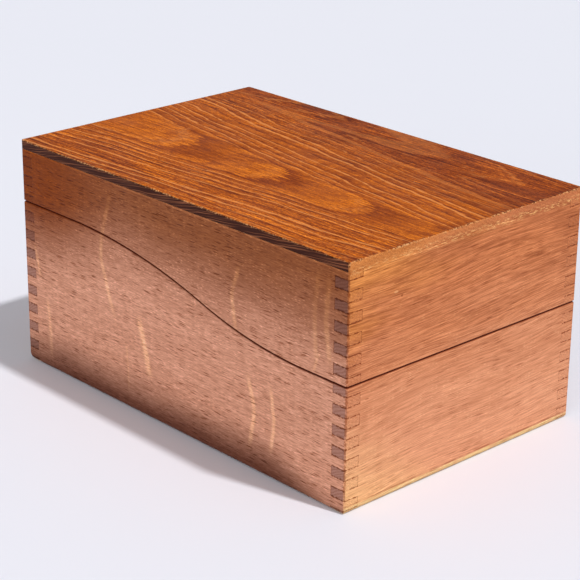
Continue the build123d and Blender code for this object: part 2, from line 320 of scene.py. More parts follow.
class Pattern(Group):
    """Shader nodes that several finishes share, with values as outputs."""

    def __init__(self, name, inputs, *outputs):
        values = ((label, "OUTPUT", SOCKETS[float]) for label in outputs)
        super().__init__("ShaderNodeTree", name, inputs, *values)

    def seeded(self, place):
        """A place moved by the seed, so that no two boards are alike."""
        seed = self.given["Seed"]
        return self.vector("ADD", place, self.join(seed, seed, seed))

    def put(self, **results):
        for name, value in results.items():
            self.feed(self.result[name.capitalize()], value)
        return self.tree


def once(build):
    """Builds a shared pattern the first time that it is asked for."""
    built = {}

    def found():
        if "tree" not in built:
            built["tree"] = build()
        return built["tree"]

    return found


@once
def fibres():
    """Long fine streaks along the grain. A place is along the grain, across it and through the board."""
    at = Pattern("Fibres", {"Place": ORIGIN, "Length": 60.0, "Width": 0.7, "Seed": 0.0}, "Fibre")
    width = at.given["Width"]
    cells = at.seeded(at.stretch(at.given["Place"], at.given["Length"], width, width))
    return at.put(fibre=at.span(at.noise(cells, detail=4, roughness=0.62), 0.25, 0.75))


@once
def pores():
    """Short dashes along the grain, closer together in some places and softened at their ends."""
    inputs = {"Place": ORIGIN, "Length": 3.4, "Width": 0.5, "Amount": 0.5, "Seed": 0.0}
    at = Pattern("Pores", inputs, "Pore")
    place, length_, width, amount, seed = (at.given[name] for name in inputs)
    waver = at.cloud(place, (18.0, 4.0, 4.0), detail=1, output="Color")
    bent = at.vector("ADD", place, at.vector("MULTIPLY", waver, (0.0, 1.6, 0.0)))
    cells = at.vector("ADD", at.stretch(bent, length_, width, width), seed)
    away = at.add("ShaderNodeTexVoronoi", {"Vector": cells, "Scale": 1.0, "Randomness": 1.0}, "Distance")
    chance = at.split(away.node.outputs["Color"])[0]
    crowd = at.noise(at.vector("ADD", at.stretch(place, 16.0, 5.0, 5.0), seed), detail=2)
    amount = at.product(amount, at.span(crowd, 0.35, 0.65, 0.35, 1.5))
    there = at.span(at.less(amount, chance), 0.0, 0.25)
    return at.put(pore=at.product(at.fade(away, 0.14, 0.44), there))


@once
def growth_rings():
    """The figure of a board sawn past the heart of the tree: lines along the grain that close in broad
    ragged flames over each heart. Along the board the rings rise, and through it they lean."""
    hearts = {"Heart": -20.0, "Second heart": 64.0}
    inputs = {"Place": ORIGIN, **hearts, "Spacing": 5.0, "Rise": 65.0, "Phase": 0.0, "Seed": 0.0}
    at = Pattern("Growth Rings", inputs, "Line", "Shade", "Tone", "Flame")
    along, across, through = at.split(at.given["Place"])
    seed = at.given["Seed"]

    def waver(length_, width, reach):
        place = at.join(at.over(along, length_), at.over(across, width), seed)
        return at.product(at.less(at.noise(place), 0.5), reach)

    slant = at.product(along, at.span(across, -45.0, 5.0, 0.0, -0.085))
    place = at.total(across, slant, waver(60.0, 40.0, 9.0), waver(26.0, 8.0, 1.3))
    hills = []
    for heart, half, blunt in (("Heart", 12.0, 0.014), ("Second heart", 10.0, 0.036)):
        away = at.apart(place, at.given[heart])
        steep = at.math("SMOOTH_MAX", at.less(away, half), 0.0, 2.0)
        hills.append(at.total(at.product(away, blunt), at.over(steep, at.given["Spacing"])))
    hill = at.math("SMOOTH_MIN", hills[0], at.total(hills[1], 10.5), 1.0)
    flat = at.least(hills[0], at.total(hills[1], 0.6))
    risen = at.over(at.less(at.product(through, 12.0), along), at.given["Rise"])
    ragged = at.total(waver(9.0, 1.1, 0.34), waver(14.0, 3.2, 0.30))
    ring = at.total(hill, risen, ragged)
    uneven = at.noise(at.join(at.product(ring, 0.6), seed, 0.5), detail=2)
    reach = at.span(ring, 1.5, 4.5, 0.9, 2.6)
    ring = at.total(ring, at.product(at.less(uneven, 0.5), reach), at.given["Phase"], 60.0)
    part = at.math("FRACT", ring)
    number = at.math("FLOOR", ring)
    chance = at.add("ShaderNodeTexWhiteNoise", {"Vector": at.join(number, seed, 0.0)}, "Value")
    away = at.over(at.apart(part, 0.9), at.span(flat, 0.1, 1.2, 0.03, 0.1))
    strength = at.span(chance, 0.1, 0.7, 0.25, 1.0)
    line = at.product(at.fade(away, 0.3, 1.0), strength, at.span(flat, 0.2, 0.8, 0.35, 1.0))
    shade = at.product(at.fade(part, 0.02, 0.5), at.total(0.5, at.product(chance, 0.5)))
    flame = at.product(at.fade(hills[0], 0.3, 1.3), at.span(part, 0.45, 0.9))
    return at.put(line=line, shade=shade, tone=chance, flame=flame)


FLECK_INPUTS = ("Along", "Height", "Reach", "Lean", "Bend", "Width", "Strength")


@once
def ray_fleck():
    """One pale curved streak across the grain, at a place along the board and a height."""
    usual = dict(zip(FLECK_INPUTS, (0.0, 50.0, 15.0, 0.0, 0.0, 1.0, 1.0)))
    at = Pattern("Ray Fleck", {"Place": ORIGIN, **usual}, "Fleck")
    along, across, _ = at.split(at.given["Place"])
    middle, height, reach, lean, bend, width, strength = (at.given[name] for name in FLECK_INPUTS)
    rise = at.over(at.less(across, height), reach)
    bowed = at.math("SQRT", at.total(at.product(rise, rise), 0.04))
    line = at.total(middle, at.product(rise, lean), at.product(bowed, bend))
    waver = at.noise(at.join(at.over(across, 7.0), middle, 0.0))
    away = at.absolute(at.total(at.less(along, line), at.product(waver, 1.4), -0.7))
    grain = at.noise(at.join(at.over(along, 2.2), at.over(across, 0.35), 0.0), detail=3)
    thick = at.product(width, at.total(0.55, grain))
    streak = at.fade(at.over(away, thick), 0.15, 1.0)
    ends = at.fade(at.absolute(rise), 0.55, 1.0)
    patchy = at.span(at.noise(at.join(at.over(across, 5.0), middle, 3.0)), 0.3, 0.6, 0.7, 1.0)
    return at.put(fleck=at.product(streak, ends, patchy, strength))


@once
def end_grain():
    """Cut ends of the wood: specks of open pores in the faint arcs of the rings."""
    at = Pattern("End Grain", {"Place": ORIGIN, "Spacing": 1.6, "Seed": 0.0}, "Speck", "Arc")
    place = at.given["Place"]
    specks = at.noise(at.seeded(at.stretch(place, 0.42, 0.42, 0.42)), detail=2, roughness=0.7)
    warped = at.noise(at.seeded(at.stretch(place, 9.0, 9.0, 9.0)), detail=1)
    _, y, z = at.split(place)
    steps = at.over(at.total(at.product(y, 0.45), z, at.product(warped, 5.0)), at.given["Spacing"])
    wave = at.math("PINGPONG", steps, 0.5)
    return at.put(speck=at.span(specks, 0.38, 0.66), arc=at.span(wave, 0.1, 0.45))


@once
def case_edges():
    """How near a place on the outside is to an edge of the closed case, and whether it is inside."""
    at = Pattern("Case Edges", {"Place": ORIGIN, "Reach": 1.5}, "Edge", "Inside")
    place = at.given["Place"]
    x, y, z = at.split(place)
    far_x = at.absolute(x)
    far_y = at.absolute(y)
    from_side = at.less(HALF_WIDTH, far_x)
    from_end = at.less(HALF_DEPTH, far_y)
    from_level = at.least(z, at.less(HEIGHT, z))
    further = at.least(at.most(from_side, from_end), from_level)
    second = at.most(at.least(from_side, from_end), further)
    ragged = at.cloud(place, 1.7, detail=4, roughness=0.7)
    reach = at.product(at.given["Reach"], at.span(ragged, 0.3, 0.7, 0.1, 1.9))
    edge = at.fade(at.over(second, reach), 0.4, 1.0)
    within_x = at.math("LESS_THAN", far_x, HALF_WIDTH - WALL + 0.1)
    within_y = at.math("LESS_THAN", far_y, HALF_DEPTH - WALL + 0.1)
    return at.put(edge=edge, inside=at.product(within_x, within_y))


@once
def glue_lines():
    """Thin broken lines round the fingers, where two boards meet. Odd is 1 on the front and back boards,
    whose fingers lie between those of the sides. Sunk is how far the fingers of the lid lie lower."""
    at = Pattern("Glue Lines", {"Place": ORIGIN, "Sunk": 0.0, "Odd": 0.0, "Width": 0.26}, "Line")
    place = at.given["Place"]
    x, y, z = at.split(place)
    corner = at.most(at.less(HALF_WIDTH, at.absolute(x)), at.less(HALF_DEPTH, at.absolute(y)))
    ragged = at.cloud(place, 1.3, detail=3, roughness=0.65)
    width = at.product(at.given["Width"], at.span(ragged, 0.38, 0.66, 0.15, 1.6))
    steps = at.over(at.total(z, at.given["Sunk"], FINGER_TRIM), FINGER)
    level = at.product(at.apart(steps, at.math("ROUND", steps)), FINGER)
    on_level = at.fade(at.over(level, width), 0.5, 1.0)
    on_upright = at.fade(at.over(at.apart(corner, WALL), width), 0.5, 1.0)
    pair = at.over(at.total(steps, at.given["Odd"]), 2.0)
    other = at.math("LESS_THAN", at.math("FRACT", pair), 0.5)
    here = at.math("LESS_THAN", corner, WALL + 0.2)
    return at.put(line=at.product(at.most(on_level, at.product(on_upright, other)), here))


@once
def handling():
    """What years of use leave: smears in the sheen, fine scratches and small dents."""
    at = Pattern("Handling", {"Place": ORIGIN, "Seed": 0.0}, "Smear", "Scratch", "Dent")
    place = at.seeded(at.given["Place"])
    smear = at.cloud(place, 24.0, detail=4, roughness=0.6, distortion=0.6)
    turned = at.add("ShaderNodeVectorRotate", {"Vector": place, "Angle": 0.7}, rotation_type="Z_AXIS")
    line = at.apart(at.cloud(turned, (34.0, 5.0, 34.0), detail=1), 0.5)
    seldom = at.span(at.cloud(place, 13.0, detail=1), 0.66, 0.72)
    scratch = at.product(at.fade(line, 0.0, 0.006), seldom)
    cells = {"Vector": at.stretch(place, 17.0, 17.0, 17.0), "Scale": 1.0}
    dent = at.fade(at.add("ShaderNodeTexVoronoi", cells, "Distance"), 0.02, 0.055)
    return at.put(smear=at.span(smear, 0.3, 0.7), scratch=scratch, dent=dent)


# ---------------------------------------------------------------- what repeats


class Recipe(Group):
    """Geometry nodes whose result is used as a plain mesh."""

    def __init__(self, name, inputs):
        material = ("Material", "INPUT", "NodeSocketMaterial")
        geometry = ("Geometry", "OUTPUT", "NodeSocketGeometry")
        super().__init__("GeometryNodeTree", name, inputs, material, geometry)

    def moved(self, shape, place, scale=ONES):
        inputs = {"Geometry": shape, "Translation": place, "Scale": scale}
        return self.add("GeometryNodeTransform", inputs)

    def cylinder(self, radius, length_, low):
        """A closed cylinder along Z that starts at a height."""
        inputs = {"Vertices": 24, "Radius": radius, "Depth": length_}
        middle = self.total(self.product(length_, 0.5), low)
        return self.moved(self.add("GeometryNodeMeshCylinder", inputs), self.join(0.0, 0.0, middle))

    def joined(self, *shapes):
        node = self.tree.nodes.new("GeometryNodeJoinGeometry")
        for shape in shapes:
            self.tree.links.new(shape, node.inputs[0])
        return node.outputs[0]

    def cut(self, shape, tool, operation="DIFFERENCE"):
        node = self.tree.nodes.new("GeometryNodeMeshBoolean")
        node.operation = operation
        node.solver = "EXACT"
        first = "Mesh 1" if operation == "DIFFERENCE" else "Mesh 2"
        self.tree.links.new(shape, node.inputs[first])
        self.tree.links.new(tool, node.inputs["Mesh 2"])
        return node.outputs["Mesh"]

    def laid_out(self, shape):
        """Sets one shape at every place of the rows, each turned its own way about the common axis."""
        given = self.given
        inputs = {"Count": given["Rows"], "Start Location": given["Start"], "Offset": given["Row Step"]}
        rows = self.add("GeometryNodeMeshLine", inputs)
        row = self.add("GeometryNodeMeshLine", {"Count": given["Count"], "Offset": given["Step"]})
        places = self.add("GeometryNodeInstanceOnPoints", {"Points": rows, "Instance": row})
        places = self.add("GeometryNodeRealizeInstances", {"Geometry": places})
        chance = self.add("FunctionNodeRandomValue", {2: 0.0, 3: math.pi, "Seed": given["Seed"]}, 1)
        spin = self.add("FunctionNodeEulerToRotation", {"Euler": self.join(0.0, 0.0, chance)})
        aim = self.add("FunctionNodeAlignRotationToVector", {"Vector": given["Axis"]}, axis="Z")
        inputs = {"Rotation": aim, "Rotate By": spin}
        turn = self.add("FunctionNodeRotateRotation", inputs, rotation_space="LOCAL")
        inputs = {"Points": places, "Instance": shape, "Rotation": turn}
        set_out = self.add("GeometryNodeInstanceOnPoints", inputs)
        whole = self.add("GeometryNodeRealizeInstances", {"Geometry": set_out})
        inputs = {"Geometry": whole, "Material": given["Material"]}
        self.feed(self.result["Geometry"], self.add("GeometryNodeSetMaterial", inputs))
        return self.tree


LAYOUT = {
    "Start": ORIGIN, "Step": ORIGIN, "Count": 1, "Row Step": ORIGIN, "Rows": 1,
    "Axis": (0.0, 0.0, 1.0), "Seed": 7,
}


@once
def slotted_screws():
    """Countersunk screws with the flat of the head at the start and a slot across it."""
    sizes = {"Head Radius": 1.6 * MM, "Head Height": 1.0 * MM, "Shank Radius": 0.8 * MM, "Length": 7.0 * MM}
    slot = {"Slot Width": 0.4 * MM, "Slot Depth": 0.45 * MM}
    at = Recipe("Slotted Screws", {**sizes, **slot, **LAYOUT})
    given = at.given
    inputs = {"Vertices": 32, "Radius Top": given["Shank Radius"], "Radius Bottom": given["Head Radius"]}
    head = at.add("GeometryNodeMeshCone", {**inputs, "Depth": given["Head Height"]})
    across = at.product(given["Head Radius"], 3.0)
    size = at.join(across, given["Slot Width"], at.product(given["Slot Depth"], 2.0))
    head = at.cut(head, at.add("GeometryNodeMeshCube", {"Size": size}))
    low = at.product(given["Head Height"], 0.7)
    shank = at.cylinder(given["Shank Radius"], at.less(given["Length"], low), low)
    return at.laid_out(at.joined(head, shank))


@once
def domed_rivets():
    """Rivets that grip from the start along their axis, with a low dome at each end."""
    sizes = {"Head Radius": 2.8 * MM, "Head Height": 0.8 * MM, "Shank Radius": 1.5 * MM, "Grip": 9.0 * MM}
    at = Recipe("Domed Rivets", {**sizes, **LAYOUT})
    radius, height, shank_radius, grip = (at.given[name] for name in sizes)
    ball = at.add("GeometryNodeMeshUVSphere", {"Segments": 32, "Rings": 24, "Radius": radius})
    dome = at.moved(ball, ORIGIN, at.join(1.0, 1.0, at.over(height, radius)))
    side = at.product(radius, 4.0)
    block = at.add("GeometryNodeMeshCube", {"Size": at.join(side, side, side)})

    def half_dome(way):
        return at.cut(dome, at.moved(block, at.join(0.0, 0.0, at.product(radius, way * 2.0))), "INTERSECT")

    far = at.moved(half_dome(1), at.join(0.0, 0.0, grip))
    return at.laid_out(at.joined(half_dome(-1), far, at.cylinder(shank_radius, grip, 0.0)))


# ---------------------------------------------------------------- finishes


class Finish(Wiring):
    """One material. Its place is counted in millimetres from the object's origin."""

    def __init__(self, name):
        self.material = bpy.data.materials.new(name)
        self.material.use_nodes = True
        super().__init__(self.material.node_tree)
        self.shader = self.tree.nodes["Principled BSDF"].inputs
        where = self.tree.nodes.new("ShaderNodeTexCoord").outputs
        self.place = self.add("ShaderNodeVectorMath", {0: where["Object"], 3: 1 / MM}, operation="SCALE")
        self.x, self.y, self.z = self.split(self.place)
        self.facing = self.split(where["Normal"])

    def faces(self, axis, sign=0):
        """A mask of the faces that point along an axis, or with a sign only one way along it."""
        value = self.facing[axis]
        value = self.product(value, float(sign)) if sign else self.absolute(value)
        return self.span(value, 0.6, 0.8)

    def depth(self):
        """How deep a place lies under the nearest of the four upright faces of the case."""
        from_side = self.less(HALF_WIDTH, self.absolute(self.x))
        from_end = self.less(HALF_DEPTH, self.absolute(self.y))
        return self.least(from_side, from_end)

    def relief(self, strength, depth, *layers):
        """Relief of that depth in millimetres. Each layer is a value, 1 at the surface, and its weight."""
        parts = [value if weight == 1.0 else self.product(value, weight) for value, weight in layers]
        inputs = {"Height": self.total(*parts), "Strength": strength, "Distance": depth * MM}
        self.feed(self.shader["Normal"], self.add("ShaderNodeBump", inputs))

    def done(self, hue, rough, socket="Specular IOR Level", value=VARNISH):
        """Links colour and roughness, and sets one plain value."""
        self.feed(self.shader["Base Color"], hue)
        self.feed(self.shader["Roughness"], rough)
        self.shader[socket].default_value = value
        return self.material


# Ray flecks of the side boards: along, height, half length, lean, bend, half width, strength
FLECKS = (
    (53.8, 72.5, 35.0, 0.8, -12.6, 1.88, 0.75),
    (20.0, 34.5, 15.5, 4.2, 0.0, 2.75, 1.0),
    (32.3, 20.0, 14.0, 0.8, 0.6, 1.12, 0.45),
    (-39.8, 78.0, 18.0, -1.0, -5.2, 1.75, 0.85),
    (-56.3, 27.5, 19.5, 0.4, 5.2, 1.88, 0.9),
    (-68.6, 27.5, 18.0, 0.2, 3.2, 1.62, 0.8),
    (101.5, 54.0, 9.0, 2.2, 0.4, 1.38, 0.8),
    (92.8, 21.0, 18.0, 0.9, 1.4, 1.75, 0.6),
    (-91.6, 84.0, 24.0, -0.4, -2.4, 1.88, 0.55),
    (-98.3, 84.0, 21.0, 0.6, -2.8, 2.12, 0.8),
    (-93.5, 64.0, 6.0, -2.2, 0.0, 1.25, 0.6),
)

# Dark marks of the front: across, height, width, height of the mark
MARKS = ((-42.0, 91.0, 0.8, 0.8), (-61.0, 50.0, 1.6, 0.4), (14.0, 66.0, 2.4, 0.4))
PALE_MARK = (-45.5, 93.5, 1.6, 0.7)


def lighten(at, hue, value, strength):
    """Makes a colour lighter where a value is over a half and darker below it, and redder as it darkens."""
    return at.tint(hue, at.product(at.less(value, 0.5), 2.0, strength), (0.75, 1.0, 1.2))


def darken(at, hue, mask, strength):
    """Stains a colour deeper where the mask is 1."""
    return at.tint(hue, mask, (-0.6 * strength, -0.8 * strength, -0.92 * strength))


def dashes(at, grain, length_, width, amount, seed):
    """Pores of that length and width."""
    inputs = {"Place": grain, "Length": length_, "Width": width, "Amount": amount, "Seed": seed}
    return at.use(pores(), inputs, "Pore")


def wear(at, seed):
    """The smears, the scratches and the dents of one piece."""
    return at.use(handling(), {"Place": at.place, "Seed": seed}, "Smear", "Scratch", "Dent")


def streaked(at, grain, hue, *layers):
    """Lays fibres over a colour. Each layer has a length, a width, a strength and a seed."""
    for length_, width, strength, seed in layers:
        inputs = {"Place": grain, "Length": length_, "Width": width, "Seed": seed}
        fibre = at.use(fibres(), inputs, "Fibre")
        hue = lighten(at, hue, fibre, strength)
    return hue, fibre


def stain_and_shade(at, light, deep, rear, foot):
    """The tone of the sides: deeper towards the top and most at the back, partly stain and partly painted
    shade where less light reaches, and a band of painted shade, with some wear, along the foot.
    """
    patch = at.less(at.cloud(at.place, (40.0, 60.0, 22.0), detail=3), 0.5)
    # Stain with painted shade: deeper towards the top and most at the back, where less light reaches.
    rise = at.total(at.z, at.span(at.y, 30.0, 110.0, 0.0, 13.0), at.product(patch, 16.0))
    hue = at.mix(at.span(rise, 53.0, 103.0), light, deep)
    hue = at.mix(at.product(at.span(rise, 66.0, 104.0), at.span(at.y, 20.0, 100.0)), hue, rear)
    # Painted shade in a band along the foot, narrower towards the ends and most at the front, with some
    # wear.
    sink = at.total(at.z, at.span(at.y, -110.0, -60.0, 13.0, 0.0), at.span(at.y, 80.0, 110.0, 0.0, 4.0))
    sink = at.total(sink, at.product(patch, 9.0))
    return at.mix(at.span(sink, 1.0, 23.0, 0.9, 0.0), hue, foot)


def raw_wood(at, grain, wood, seed):
    """The bare wood inside, with its pores."""
    layers = ((30.0, 1.4, 0.2, seed + 41), (9.0, 0.5, 0.28, seed + 40))
    raw, _ = streaked(at, grain, wood.raw_colour, *layers)
    return darken(at, raw, dashes(at, grain, 3.0, 0.5, 0.4, seed + 50), 0.7)


def painted_gap_shade(at, hue):
    """Darkens the sawn line near the outside with painted shade, where shade falls in the narrow gap: its
    cut faces and their rounded edges, the lid's downward edge most.
    """
    tilt = at.absolute(at.facing[2])
    lid_edge = at.span(at.facing[2], -0.3, -0.12, 1.0, 0.2)
    bevel = at.product(at.span(tilt, 0.12, 0.3), at.fade(tilt, 0.86, 0.97), lid_edge)
    depth = at.depth()
    face = at.product(at.span(tilt, 0.6, 0.75), at.span(depth, 0.05, 0.2), at.fade(depth, 1.0, 2.4))
    above = at.span(at.z, SPLIT_LOW - 1, SPLIT_LOW + 1)
    level = at.product(above, at.fade(at.z, SPLIT_HIGH - 1, SPLIT_HIGH + 1), 0.94)
    # Painted shade on the cut faces and rounded edges inside the gap.
    return at.mix(at.product(at.most(bevel, face), level), hue, GAP_SHADE)


def sunk(at):
    """How far the fingers of this board lie below the even pitch."""
    settings = {"attribute_type": "GEOMETRY", "attribute_name": "sunk"}
    return at.add("ShaderNodeAttribute", {}, "Fac", **settings)


def spot(at, x, z, wide, tall):
    """A small soft mark at a place on the front."""
    cells = at.stretch(at.join(at.x, 0.0, at.z), wide, 1.0, tall)
    away = at.vector("DISTANCE", cells, (x / wide, 0.0, z / tall)).node.outputs["Value"]
    return at.product(at.fade(away, 0.5, 1.0), at.faces(1, -1))


def board_tone(at, wood):
    """The stain of the front and back: browner towards the top, golden in patches and in one low corner,
    rubbed bare in specks under the top panel and pale on the rounded foot, with a line over it."""
    patch = at.less(at.cloud(at.place, (50.0, 50.0, 16.0), detail=3), 0.5)
    high = at.span(at.total(at.z, at.product(patch, 36.0)), 5.0, 100.0)
    hue = at.mix(high, wood.front_colour, wood.front_warm)
    corner = at.total(at.product(at.x, 0.8), at.z, at.product(patch, 34.0))
    hue = at.mix(at.fade(corner, -64.0, 0.0), hue, wood.front_pale)
    gold = at.total(at.product(at.x, -0.4), at.z, at.product(patch, 60.0))
    hue = at.mix(at.span(gold, 96.0, 132.0, 0.0, 0.7), hue, wood.front_gold)
    smoke = at.cloud(at.place, (38.0, 38.0, 7.0), detail=3, distortion=0.5)
    deep = at.product(at.span(smoke, 0.46, 0.66), at.span(at.z, 30.0, 75.0, 0.25, 1.0))
    hue = darken(at, hue, deep, 0.26)
    level = at.fade(at.apart(at.z, SEAM), 0.3, 2.6)
    rubbed = at.span(at.cloud(at.place, (3.0, 3.0, 0.5), detail=3, roughness=0.65), 0.5, 0.62)
    seldom = at.span(at.cloud(at.place, (17.0, 17.0, 30.0), detail=1), 0.35, 0.6, 0.25, 0.9)
    hue = at.mix(at.product(rubbed, level, seldom), hue, wood.front_rubbed)
    uneven = at.span(at.cloud(at.place, 8.0, detail=2), 0.35, 0.6, 0.3, 1.0)
    groove = at.fade(at.apart(at.z, FOOT_GROOVE), 0.15, 0.6)
    hue = darken(at, hue, at.product(groove, uneven), 0.6)
    # Paler along the rounded foot.
    foot = at.fade(at.z, FOOT_GROOVE - 0.8, FOOT_GROOVE - 0.3)
    foot = at.product(foot, at.span(uneven, 0.3, 1.0, 0.6, 0.95))
    return at.mix(foot, hue, wood.foot_pale)


def cut_end(at, wood, seed, ring, speck_strength):
    """The tone of the front on an end that is cut across the grain, with its arcs and its specks."""
    inputs = {"Place": at.join(at.y, at.x, at.z), "Seed": seed}
    speck, arc = at.use(end_grain(), inputs, "Speck", "Arc")
    return lighten(at, darken(at, board_tone(at, wood), arc, ring), at.less(1.0, speck), speck_strength)


def upright_board(at, wood, grain, seed, hue, edge_strength):
    """What every upright board has: darker edges above the foot, raw wood inside and painted shade in the
    sawn gap.
    """
    edge, inside = at.use(case_edges(), {"Place": at.place, "Reach": 0.9}, "Edge", "Inside")
    hue = darken(at, hue, at.product(edge, at.span(at.z, 3.0, 12.0)), edge_strength)
    return painted_gap_shade(at, at.mix(inside, hue, raw_wood(at, grain, wood, seed))), inside


def varnished(at, hue, smear, pore, pore_weight, bare):
    """Ends a board that is varnished outside and bare where the mask is 1."""
    rough = at.total(at.product(smear, 0.14), at.product(pore, pore_weight), at.product(bare, 0.3), 0.34)
    return at.done(hue, rough)


def side_wood(wood, side):
    """Quarter-sawn boards with short dark pores and pale ray flecks, darker at the top and the back by stain
    and painted shade, and with painted shade at the foot.
    """
    at = Finish("left_side_wood" if side < 0 else "right_side_wood")
    seed = 3.0 + 5.0 * side
    grain = at.join(at.y, at.z, at.x)
    pore = dashes(at, grain, wood.pore_length / MM, 0.66, 0.5, seed)
    small = dashes(at, grain, 3.0, 0.5, 0.42, seed + 20)
    bright = dashes(at, grain, 2.4, 0.55, 0.5, seed + 60)
    line = at.use(glue_lines(), {"Place": at.place, "Sunk": sunk(at), "Width": 0.4}, "Line")
    smear, _, dent = wear(at, seed)

    along = at.product(at.y, 1.0 if side < 0 else -1.0)
    flecks = 0.0
    for fleck in FLECKS:
        inputs = {"Place": at.join(along, at.z, at.x), **dict(zip(FLECK_INPUTS, fleck))}
        flecks = at.most(flecks, at.use(ray_fleck(), inputs, "Fleck"))

    # Stain with painted shade at the top, the back and the foot.
    hue = stain_and_shade(at, wood.side_colour, wood.side_stain_and_shade, wood.side_rear_stain_and_shade, wood.side_foot_shade)
    layers = ((40.0, 3.0, 0.10, seed + 1), (12.0, 0.9, 0.18, seed + 4), (4.5, 0.5, 0.32, seed + 2))
    hue, fibre = streaked(at, grain, hue, *layers)
    hue = darken(at, hue, pore, 0.85)
    hue = darken(at, hue, small, 0.55)
    bright = at.product(bright, at.span(at.z, 40.0, 95.0, 0.9, 2.2))
    hue = at.tint(hue, bright, (0.26, 0.34, 0.38))
    rim = at.product(at.span(at.z, SEAM - 1.0, SEAM - 0.5), at.faces(0))
    hue = lighten(at, hue, at.math("MULTIPLY_ADD", rim, 0.5, 0.5), 0.55)
    hue = at.tint(hue, flecks, (0.42, 0.6, 0.44))
    hue = at.mix(at.faces(1), hue, cut_end(at, wood, seed, 0.16, 0.2))
    hue = darken(at, hue, line, 0.85)
    hue, inside = upright_board(at, wood, grain, seed, hue, 0.65)
    at.relief(0.7, 0.16, (pore, -1.0), (fibre, 0.4), (dent, -1.0), (line, -0.8))
    return varnished(at, hue, smear, pore, 0.1, inside)


def end_wood(wood, end):
    """Boards with fine dark streaks across the box, warmer in patches. Their own ends show at the sides."""
    at = Finish("front_wood" if end < 0 else "back_wood")
    seed = 11.0 + 4.0 * end
    wander = at.cloud(at.place, (90.0, 90.0, 40.0), detail=1)
    grain = at.join(at.x, at.total(at.z, at.product(at.x, -0.03), at.product(wander, 9.0)), at.y)
    pore = dashes(at, grain, 9.0, 0.46, 0.38, seed)
    bright = dashes(at, grain, 2.4, 0.5, 0.42, seed + 30)
    width = at.total(at.product(at.faces(0), 0.3), 0.34)
    inputs = {"Place": at.place, "Sunk": sunk(at), "Odd": 1.0, "Width": width}
    line = at.use(glue_lines(), inputs, "Line")
    smear, _, dent = wear(at, seed)

    gain = at.span(at.z, 45.0, 70.0, 0.9, 1.5)
    layers = (
        (70.0, 2.2, at.product(gain, 0.06), seed + 1),
        (34.0, 0.8, at.product(gain, 0.09), seed + 2),
        (11.0, 0.38, at.product(gain, 0.32), seed + 3),
    )
    hue, fibre = streaked(at, grain, board_tone(at, wood), *layers)
    hue = darken(at, hue, pore, 0.7)
    hue = at.tint(hue, bright, (0.16, 0.34, 0.4))
    speck, arc = at.use(end_grain(), {"Place": at.place, "Seed": seed}, "Speck", "Arc")
    # The tenon ends take the same stain and painted shade as the sides.
    ends = stain_and_shade(at, wood.end_colour, wood.end_stain_and_shade, wood.side_rear_stain_and_shade, wood.side_foot_shade)
    ends = darken(at, darken(at, ends, speck, 0.3), arc, 0.3)
    hue = darken(at, hue, at.most(*(spot(at, *mark) for mark in MARKS)), 0.6)
    hue = at.mix(at.product(spot(at, *PALE_MARK), 0.5), hue, wood.front_pale)
    hue = at.mix(at.faces(0), hue, ends)
    hue = darken(at, hue, line, 0.85)
    hue, inside = upright_board(at, wood, grain, seed, hue, 0.6)
    at.relief(0.4, 0.1, (pore, -0.8), (fibre, 0.4), (dent, -1.0), (line, -0.8))
    return varnished(at, hue, smear, pore, 0.08, inside)


